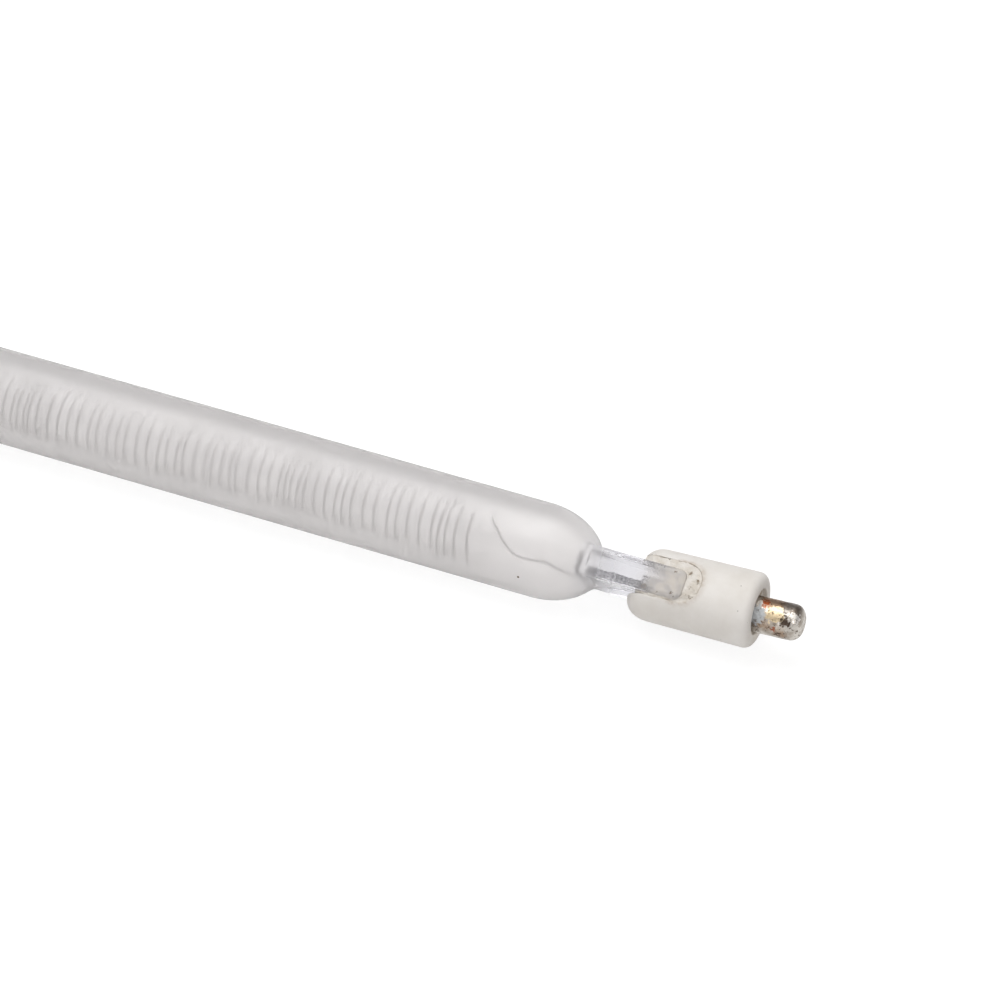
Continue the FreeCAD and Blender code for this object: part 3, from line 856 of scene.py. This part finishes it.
def slot_block(start):
    """The slot's own shape: open at its start, with a full round where it stops."""
    middle = SLOT_DEPTH - SLOT_RADIUS
    rim = [(start, SLOT_RADIUS), (start, -SLOT_RADIUS)]
    for angle in np.radians(np.linspace(-90, 90, 33)):
        rim.append((middle + SLOT_RADIUS * math.cos(angle), SLOT_RADIUS * math.sin(angle)))
    return [(x, y, z) for z in (-SLOT_CUT, SLOT_CUT) for x, y in rim], block_faces(len(rim))


def shaped(piece, cutters, voxel, passes):
    """Cuts the cutters out of a piece, then makes it one even skin with softly worn edges."""
    for cutter in cutters:
        tool = piece.modifiers.new("cut", "BOOLEAN")
        tool.operation = "DIFFERENCE"
        tool.solver = "EXACT"
        tool.object = cutter
    skin = piece.modifiers.new("skin", "REMESH")
    skin.mode = "VOXEL"
    skin.voxel_size = voxel * MM
    skin.use_smooth_shade = True
    worn = piece.modifiers.new("worn", "SMOOTH")
    worn.factor = 0.5
    worn.iterations = passes
    bpy.context.view_layer.update()
    ready = piece.evaluated_get(bpy.context.evaluated_depsgraph_get())
    mesh = bpy.data.meshes.new_from_object(ready)
    piece.modifiers.clear()
    piece.data = mesh
    for cutter in cutters:
        bpy.data.objects.remove(cutter)
    return piece


def steatite(side):
    """Fired steatite, unglazed: a warm chalky white with fine pressed grain, small dark dots, and a brown ring
    where the cement's binder soaked in at the slot's end."""
    material = blank_material(f"unglazed fired steatite {side}")
    place = local_place(material, cap_frame(side))
    mottle = add_node(material, "ShaderNodeTexNoise", {
        "Vector": place,
        "Scale": 1 / STEATITE_MOTTLE,
        "Detail": 5.0,
        "Roughness": 0.6,
    })
    shade = add_node(material, "ShaderNodeMapRange", {
        "Value": mottle.outputs["Fac"],
        "From Min": 0.35,
        "From Max": 0.7,
    })
    ragged = add_node(material, "ShaderNodeTexNoise", {
        "Vector": place,
        "Scale": 1 / STAIN_FRAY,
        "Detail": 4.0,
    })
    centre = (SLOT_DEPTH - SLOT_RADIUS, 0, CAP_FORK_RADIUS)
    ring = smudge(material, frayed(material, place, STAIN_FRAY, 0.9), centre, STAIN_REACH, STAIN_EDGE)
    patchy = add_node(material, "ShaderNodeMapRange", {
        "Value": ragged.outputs["Fac"],
        "From Min": 0.45,
        "From Max": 0.75,
        "To Min": 0.2,
        "To Max": 0.95,
    })
    soaked = add_node(material, "ShaderNodeMath", {
        0: ring,
        1: patchy.outputs["Result"],
    }, operation="MULTIPLY")
    dots = add_node(material, "ShaderNodeTexVoronoi", {"Vector": place, "Scale": 1 / DOT_SPACING})
    dot = add_node(material, "ShaderNodeMapRange", {
        "Value": dots.outputs["Distance"],
        "From Min": 0.03,
        "From Max": 0.05,
        "To Min": 0.55,
        "To Max": 0.0,
    })
    tints = [
        (shade.outputs["Result"], STEATITE_SHADE),
        (soaked.outputs["Value"], STEATITE_STAIN),
        (dot.outputs["Result"], STEATITE_DOT),
    ]
    # The pressed powder's own grain is about half as coarse, too fine to show, and is drawn as coarse as this
    grain = add_node(material, "ShaderNodeTexNoise", {
        "Vector": place,
        "Scale": 1 / STEATITE_GRAIN,
        "Detail": 2.0,
    })
    bump = add_node(material, "ShaderNodeBump", {
        "Strength": 0.35,
        "Distance": 0.02 * MM,
        "Height": grain.outputs["Fac"],
    })
    clay = add_node(material, "ShaderNodeBsdfPrincipled", {
        "Base Color": layered(material, linear(STEATITE), tints),
        "Roughness": 0.78,
        "IOR": 1.5,
        "Normal": bump.outputs["Normal"],
    })
    return finished(material, clay.outputs["BSDF"])


def with_longer_arm(points):
    """Draws out the lower arm of the fork, most at its own end."""
    longer = []
    for x, y, z in points:
        share = max(-y, 0) / ARM_RUN * max(1 - x / ARM_RUN, 0)
        longer.append((x - LOWER_ARM_EXTRA * share, y, z))
    return longer


def bore_profile():
    """The outline of the stepped bore, narrow inside and wide at its mouth."""
    step, past = CAP_LENGTH - CAP_MOUTH_DEPTH, CAP_LENGTH + CUT_PAST
    narrow = [(BORE_START, 0), (BORE_START, CAP_BORE_RADIUS), (step, CAP_BORE_RADIUS)]
    return narrow + [(step, CAP_MOUTH_RADIUS), (past, CAP_MOUTH_RADIUS), (past, 0)]


for side in ENDS:
    place = cap_frame(side)
    fired = steatite(side)
    cap_points, cap_faces = turned_skin(cap_profile(), 128)
    cap = mesh_piece(f"steatite_cap_{side}", with_longer_arm(cap_points), cap_faces, place, fired)
    slot = mesh_piece("slot_cutter", *slot_block(-1), place, fired)
    bore = mesh_piece("bore_cutter", *turned_skin(bore_profile(), 96), place, fired)
    shaped(cap, [slot, bore], SKIN_GRID, CAP_WEAR)
    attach(cap, "root")
    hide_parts(f"ceramic_cap_{side}")

# Cement in the fork: refractory paste that was pressed in round the seal and cured. It is off-white, lumpy and
# flush with the cap, with burnt specks.
CEMENT_START = 0.6
CEMENT_RADIUS = 3.97
CEMENT_WEAR = 2
CEMENT_LUMP = 0.04
CEMENT_GRIT = 0.03
CEMENT_MOTTLE = 1.2
SPECK_SPACING = 0.9
SPOT_FRAY = 0.35
CEMENT = "#E4DFD8"
CEMENT_SHADE = "#D2CABE"
CEMENT_BURNT = "#7A6A55"
BURNT_SPOTS = (
    ((6.18, 1.06, 3.96), 0.42),
    ((7.03, -1.6, 3.77), 0.35),
    ((7.35, 0.3, 3.98), 0.3),
    ((6.7, -0.6, 3.98), 0.25),
)


def refractory_cement(name, place_frame, shade, spots=()):
    """Cured refractory cement: a dull beige paste, lumpy and pitted, with specks burnt brown."""
    material = blank_material(name)
    place = local_place(material, place_frame)
    lumps = add_node(material, "ShaderNodeTexNoise", {
        "Vector": place,
        "Scale": 1 / CEMENT_MOTTLE,
        "Detail": 5.0,
        "Roughness": 0.65,
    })
    share = add_node(material, "ShaderNodeMapRange", {
        "Value": lumps.outputs["Fac"],
        "From Min": 0.4,
        "From Max": 0.65,
    })
    specks = add_node(material, "ShaderNodeTexVoronoi", {"Vector": place, "Scale": 1 / SPECK_SPACING})
    shown = add_node(material, "ShaderNodeMapRange", {
        "Value": specks.outputs["Distance"],
        "From Min": 0.06,
        "From Max": 0.16,
        "To Min": 0.8,
        "To Max": 0.0,
    })
    burns = shown.outputs["Result"]
    at_spots = frayed(material, place, SPOT_FRAY, 1.2)
    for spot, reach in spots:
        burn = smudge(material, at_spots, spot, reach, 0.8 * reach)
        burns = add_node(material, "ShaderNodeMath", {
            0: burns,
            1: burn,
        }, operation="MAXIMUM").outputs["Value"]
    tints = [(share.outputs["Result"], shade), (burns, CEMENT_BURNT)]
    bump = add_node(material, "ShaderNodeBump", {
        "Strength": 0.6,
        "Distance": 0.08 * MM,
        "Height": lumps.outputs["Fac"],
    })
    cured = add_node(material, "ShaderNodeBsdfPrincipled", {
        "Base Color": layered(material, linear(CEMENT), tints),
        "Roughness": 0.85,
        "Normal": bump.outputs["Normal"],
    })
    return finished(material, cured.outputs["BSDF"])


def fork_cement(side, material):
    """Paste in the slot on both sides of the seal and past its end, flush with the cap, with a lumpy skin."""
    cap, seal = cap_frame(side), seal_frame(side)
    to_cap = cap.inverted() @ seal
    seal_end = DOME_LENGTH + SEAL_LENGTH
    front = CAP_START + CEMENT_START
    middle = SLOT_DEPTH - SLOT_RADIUS
    points = []
    for height in (-CEMENT_RADIUS, CEMENT_RADIUS):
        for angle in np.radians(np.linspace(-90, 90, 33)):
            points.append((middle + SLOT_RADIUS * math.cos(angle), SLOT_RADIUS * math.sin(angle), height))
        points.append((CEMENT_START, SLOT_RADIUS, height))
        edge = [(front, SEAL_HALF_THICKNESS)]
        for turn in np.radians([90, 67, 45, 22, 0]):
            y = SEAL_HALF_THICKNESS - SEAL_END_ROUND * (1 - math.sin(turn))
            edge.append((seal_end - SEAL_END_ROUND * (1 - math.cos(turn)), y))
        edge += [(u, -y) for u, y in reversed(edge)]
        points += [tuple(to_cap @ Vector((u, y, height))) for u, y in edge]
        points.append((CEMENT_START, -SLOT_RADIUS, height))
    block = mesh_piece(f"fork_cement_{side}", points, block_faces(len(points) // 2), cap, material)
    shaped(block, [], SKIN_GRID, CEMENT_WEAR)
    to_place = cap.inverted()
    normals = [vertex.normal.copy() for vertex in block.data.vertices]
    for vertex, normal in zip(block.data.vertices, normals):
        p = to_place @ (vertex.co / MM)
        lump = CEMENT_LUMP * noise.noise(p * 1.4) + CEMENT_GRIT * noise.noise(p * 4.5)
        behind = max(CAP_FORK_ROUND - p.x, 0)
        sunk = CAP_FORK_ROUND - math.sqrt(max(CAP_FORK_ROUND ** 2 - behind ** 2, 0))
        skin = (CEMENT_RADIUS - sunk + 2 * lump) / max(p.yz.length, 1e-6)
        if skin < 1:
            p = Vector((p.x, p.y * skin, p.z * skin))
        vertex.co = (cap @ p + normal * lump) * MM
    return block


for side in ENDS:
    cured = refractory_cement(f"cured cement in fork {side}", cap_frame(side), CEMENT_SHADE, BURNT_SPOTS)
    cement = fork_cement(side, cured)
    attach(cement, "root")
    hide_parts(f"cap_cement_{side}")

# Contact pins: turned brass with nickel plating, worn through and tarnished by heat, with a lump of flux at
# the root, gold and brown heat tints and black burnt spots
PIN_RADIUS = 2.0
PIN_REACH = 5.1
PIN_TIP_ROUND = 1.3
PIN_DROP = 0.28
PIN_LEAN = 1.1
PIN_FOOT = -1.1
PIN_DENT = 0.035
PIN_RIPPLE = 0.012
FLUX_RISE = 0.16
FLUX_REACH = 1.3
FLUX_PLACE = (0.1, 20)
NICKEL = "#C9C4BC"
# Worn nickel's colour, also used for a painted dark reflection on the tip's end
NICKEL_WORN_AND_DARK_REFLECTION = "#9C9389"
HEAT_GOLD = "#DAC6A3"
HEAT_BROWN = "#8A6B4D"
HEAT_DARK = "#4B3C31"
RUST_ORANGE = "#8A4526"
FLUX = "#B9BDC0"
PATCH_RAGGED = 1.8
PIT_SIZE = 0.35
WEAR_PATCH = 1.3
# Colour of a painted highlight near the pin's tip
NICKEL_PAINTED_HIGHLIGHT = "#EFEAE3"


def pin_frame(side):
    """Where one pin stands out of its cap: the right one leans in its bore."""
    share = ENDS[side]
    place = Matrix.Translation((CAP_LENGTH, -PIN_DROP * share, 0))
    lean = Matrix.Rotation(math.radians(PIN_LEAN * share), 4, "Z")
    return cap_frame(side) @ place @ lean


def around_pin(along, angle, radius=PIN_RADIUS):
    """A point on the pin, at an angle in degrees from its near side towards its lower side."""
    turn = math.radians(angle)
    return (along, -radius * math.sin(turn), radius * math.cos(turn))


def pin_skin():
    """The pin with the dents and the lump of flux that its plating shows."""
    rows = np.linspace(PIN_FOOT, PIN_REACH - PIN_TIP_ROUND, 60)[:-1]
    nose = rounded_corner(PIN_REACH - PIN_TIP_ROUND, PIN_RADIUS - PIN_TIP_ROUND, PIN_TIP_ROUND, 90, 8)
    profile = [(PIN_FOOT, 0)] + [(x, PIN_RADIUS) for x in rows] + nose
    profile += [(PIN_REACH, 0.6), (PIN_REACH, 0.3), (PIN_REACH, 0)]
    points, faces = turned_skin(profile, 120)
    lump = Vector(around_pin(0.35, 22))
    dented = []
    for point in points:
        p = Vector(point)
        out = Vector((0, p.y, p.z))
        out = out.normalized() if out.length > 1e-6 else Vector((1, 0, 0))
        rise = PIN_DENT * noise.noise(p * 1.1) + PIN_RIPPLE * noise.noise(p * 4.0)
        away = (p - lump).length
        if away < FLUX_REACH:
            rise += FLUX_RISE * (1 - away / FLUX_REACH) * (0.6 + 0.8 * noise.noise(p * 3.0))
        dented.append(tuple(p + out * rise * float(soft_step(np.array(p.yz.length), 0.2, 1.2))))
    return dented, faces


def tarnished_nickel(side):
    """Nickel plating on brass, tarnished: silver grey metal with gold and brown heat tints, an orange spot,
    dark burnt patches and a dull grey-white crust of flux at the root, with a painted highlight near the tip
    and a painted dark reflection on its end."""
    material = blank_material(f"tarnished nickel plate {side}")
    place = local_place(material, pin_frame(side))
    fine = add_node(material, "ShaderNodeTexNoise", {
        "Vector": place,
        "Scale": 1 / PIT_SIZE,
        "Detail": 5.0,
        "Roughness": 0.7,
    })
    broad = add_node(material, "ShaderNodeTexNoise", {
        "Vector": place,
        "Scale": 1 / WEAR_PATCH,
        "Detail": 3.0,
    })
    ragged = frayed(material, place, PIT_SIZE, PATCH_RAGGED)
    worn = add_node(material, "ShaderNodeMapRange", {
        "Value": broad.outputs["Fac"],
        "From Min": 0.4,
        "From Max": 0.62,
    })
    tints = [(worn.outputs["Result"], NICKEL_WORN_AND_DARK_REFLECTION)]
    # Each patch has its place on the pin, its reach, the width of its edge, its tint and its strength
    patches = (
        (around_pin(1.6, -48), 1.8, 0.7, HEAT_BROWN, 0.85),
        (around_pin(3.6, -46), 1.6, 0.6, HEAT_DARK, 0.7),
        (around_pin(2.3, 6), 1.1, 0.25, HEAT_GOLD, 0.95),
        (around_pin(1.3, 45), 1.0, 0.7, HEAT_BROWN, 0.55),
        (around_pin(3.0, 66), 1.1, 0.7, HEAT_BROWN, 0.6),
        (around_pin(2.35, 58), 0.36, 0.15, RUST_ORANGE, 0.8),
        (around_pin(2.8, 72), 0.42, 0.15, HEAT_DARK, 0.9),
        (around_pin(1.6, 50), 0.22, 0.1, HEAT_DARK, 0.85),
        # A painted highlight near the tip
        (around_pin(4.55, 0), 0.75, 0.25, NICKEL_PAINTED_HIGHLIGHT, 0.95),
        (around_pin(3.45, 24), 0.72, 0.2, HEAT_DARK, 0.95),
        # A painted dark reflection on the tip's end
        (around_pin(5.0, 15, 1.0), 0.6, 0.3, NICKEL_WORN_AND_DARK_REFLECTION, 0.9),
        (around_pin(0.85, -26), 0.6, 0.25, RUST_ORANGE, 0.95),
        (around_pin(*FLUX_PLACE), 1.2, 0.25, FLUX, 0.9),
        (around_pin(0.1, 55), 0.6, 0.2, HEAT_DARK, 0.6),
        (around_pin(2.6, 215), 1.6, 0.5, HEAT_BROWN, 0.7),
        (around_pin(1.2, 150), 1.2, 0.3, HEAT_GOLD, 0.7),
        (around_pin(3.6, 120), 0.9, 0.3, HEAT_DARK, 0.8),
    )
    for spot, reach, edge, tint, strength in patches:
        shown = smudge(material, ragged, spot, reach, edge)
        held = add_node(material, "ShaderNodeMath", {0: shown, 1: strength}, operation="MULTIPLY")
        tints.append((held.outputs["Value"], tint))
    pits = add_node(material, "ShaderNodeMapRange", {
        "Value": fine.outputs["Fac"],
        "From Min": 0.57,
        "From Max": 0.64,
        "To Min": 0.0,
        "To Max": 0.9,
    })
    tints.append((pits.outputs["Result"], HEAT_DARK))
    crust = smudge(material, ragged, around_pin(*FLUX_PLACE), 1.25, 0.25)
    metallic = add_node(material, "ShaderNodeMath", {0: 1.0, 1: crust}, operation="SUBTRACT")
    polish = add_node(material, "ShaderNodeMapRange", {
        "Value": fine.outputs["Fac"],
        "From Min": 0.35,
        "From Max": 0.65,
        "To Min": 0.28,
        "To Max": 0.55,
    })
    bump = add_node(material, "ShaderNodeBump", {
        "Strength": 0.5,
        "Distance": 0.05 * MM,
        "Height": fine.outputs["Fac"],
    })
    plate = add_node(material, "ShaderNodeBsdfPrincipled", {
        "Base Color": layered(material, linear(NICKEL), tints),
        "Metallic": metallic.outputs["Value"],
        "Roughness": polish.outputs["Result"],
        "Normal": bump.outputs["Normal"],
    })
    return finished(material, plate.outputs["BSDF"])


for side in ENDS:
    pin = mesh_piece(f"nickel_pin_{side}", *pin_skin(), pin_frame(side), tarnished_nickel(side), 50)
    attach(pin, "root")
    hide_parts(f"contact_pin_{side}")

# Filler round each pin: the same refractory cement, sunk in the mouth of the cap's bore. It holds the pin, and
# its darker brown mottle is painted shade of the sunk mouth.
FILLER_PAINTED_SHADE = "#A08E76"
for side in ENDS:
    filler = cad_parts[f"pin_cement_{side}"]
    filler.data.materials.clear()
    # The filler's darker tone is painted shade of the mouth it is sunk in
    filler_with_painted_shade = refractory_cement(f"cured cement round pin {side}", cap_frame(side), FILLER_PAINTED_SHADE)
    filler.data.materials.append(filler_with_painted_shade)

# The table it lies on, the light and the camera. The floor is white to the eye and keeps a soft shadow.
FLOOR_REACH = 3.0
FLOOR_GLOW = 0.86
FLOOR_WHITE = "#E2E2E2"
FLOOR_SHADED = "#868686"
SKY_WHITE = "#FFFFFF"
WALL_GREY = "#9A9A9E"


def white_table():
    """A matt white board. Part of its white is its own glow where it is looked at, also through glass and in
    metal, so that shadows on it stay soft."""
    material = blank_material("matt white board")
    rays = add_node(material, "ShaderNodeLightPath")
    seen = add_node(material, "ShaderNodeMath", {
        0: rays.outputs["Is Camera Ray"],
        1: rays.outputs["Is Glossy Ray"],
    }, operation="MAXIMUM")
    seen = add_node(material, "ShaderNodeMath", {
        0: seen.outputs["Value"],
        1: rays.outputs["Is Transmission Ray"],
    }, operation="MAXIMUM")
    board = add_node(material, "ShaderNodeBsdfDiffuse", {"Color": linear(FLOOR_WHITE)})
    dimmed = add_node(material, "ShaderNodeBsdfDiffuse", {"Color": linear(FLOOR_SHADED)})
    glow = add_node(material, "ShaderNodeEmission", {"Strength": FLOOR_GLOW})
    lit = add_node(material, "ShaderNodeAddShader", {
        0: dimmed.outputs["BSDF"],
        1: glow.outputs["Emission"],
    })
    shown = add_node(material, "ShaderNodeMixShader", {
        0: seen.outputs["Value"],
        1: board.outputs["BSDF"],
        2: lit.outputs["Shader"],
    })
    return finished(material, shown.outputs["Shader"])


floor_height = cad_box[0][2] / MM
floor_edge = FLOOR_REACH / MM
corners = [(x * floor_edge, y * floor_edge, floor_height) for x, y in ((-1, -1), (1, -1), (1, 1), (-1, 1))]
floor = mesh_piece("white_floor", corners, [(0, 1, 2, 3)], Matrix.Identity(4), white_table())

# The studio round it: white to the camera, but to what it lights and mirrors a grey wall under a white ceiling
world = bpy.data.worlds.new("white studio")
world.use_nodes = True
bpy.context.scene.world = world
sky = world.node_tree
sky.nodes.clear()
way = add_node(world, "ShaderNodeTexCoord").outputs["Generated"]
height = add_node(world, "ShaderNodeSeparateXYZ", {"Vector": way}).outputs["Z"]
wall = add_node(world, "ShaderNodeMapRange", {
    "Value": height,
    "From Min": 0.0,
    "From Max": 0.22,
    "To Min": 0.0,
    "To Max": 1.0,
}, interpolation_type="SMOOTHSTEP")
ceiling = add_node(world, "ShaderNodeMapRange", {
    "Value": height,
    "From Min": 0.55,
    "From Max": 0.85,
    "To Min": 1.0,
    "To Max": 0.0,
}, interpolation_type="SMOOTHSTEP")
grey = add_node(world, "ShaderNodeMath", {
    0: wall.outputs["Result"],
    1: ceiling.outputs["Result"],
}, operation="MULTIPLY")
studio = add_node(world, "ShaderNodeMixRGB", {
    "Fac": grey.outputs["Value"],
    "Color1": linear(SKY_WHITE),
    "Color2": linear(WALL_GREY),
})
rays = add_node(world, "ShaderNodeLightPath")
shown_sky = add_node(world, "ShaderNodeMixRGB", {
    "Fac": rays.outputs["Is Camera Ray"],
    "Color1": studio.outputs["Color"],
    "Color2": linear(SKY_WHITE),
})
strength = add_node(world, "ShaderNodeMapRange", {
    "Value": rays.outputs["Is Diffuse Ray"],
    "To Min": 1.0,
    "To Max": 0.62,
})
background = add_node(world, "ShaderNodeBackground", {
    "Color": shown_sky.outputs["Color"],
    "Strength": strength.outputs["Result"],
})
add_node(world, "ShaderNodeOutputWorld", {"Surface": background.outputs["Background"]})


def soft_box(name, place, aim, size, power, colour):
    """A broad lamp with soft edges, turned to what it lights."""
    lamp = bpy.data.lights.new(name, "AREA")
    lamp.shape = "RECTANGLE"
    lamp.size, lamp.size_y = size
    lamp.energy = power
    lamp.color = linear(colour)[:3]
    stand = bpy.data.objects.new(name, lamp)
    stand.location = place
    stand.rotation_euler = (Vector(aim) - Vector(place)).to_track_quat("-Z", "Y").to_euler()
    bpy.context.scene.collection.objects.link(stand)


# Each lamp has its name, its place and its aim in metres, its size, its power in watts and its colour
LAMPS = (
    ("overhead_box", (-0.1, 0.1, 0.9), (0.05, 0, 0), (0.9, 0.6), 5.2, "#FFFFFF"),
    ("front_box", (-0.25, -0.8, 0.18), (0.05, 0, 0), (0.5, 0.3), 0.9, "#FFFFFF"),
    ("side_box", (0.7, -0.5, 0.5), (0.1, 0, 0), (0.35, 0.35), 1.2, "#FFFBF5"),
)
for lamp in LAMPS:
    soft_box(*lamp)

# The camera was fitted to the tube's outline: its place in millimetres, its two directions and its lens
CAMERA_PLACE = Vector((257.542, -397.650, 380.544))
CAMERA_BACK = Vector((0.3007058, -0.693826, 0.6543558)).normalized()
CAMERA_RIGHT = Vector((0.9175, 0.3977, 0.0)).normalized()
CAMERA_LENS = 189.887
CAMERA_SENSOR = 36.0

lens = bpy.data.cameras.new("photo_camera")
lens.lens = CAMERA_LENS
lens.sensor_width = CAMERA_SENSOR
lens.sensor_fit = "HORIZONTAL"
lens.clip_start = 0.01
camera = bpy.data.objects.new("photo_camera", lens)
camera_up = CAMERA_BACK.cross(CAMERA_RIGHT)
turned_to = Matrix((CAMERA_RIGHT, camera_up, CAMERA_BACK)).transposed().to_4x4()
camera.matrix_world = Matrix.Translation(CAMERA_PLACE * MM) @ turned_to
bpy.context.scene.collection.objects.link(camera)
bpy.context.scene.camera = camera
bpy.context.scene.view_settings.view_transform = "Standard"
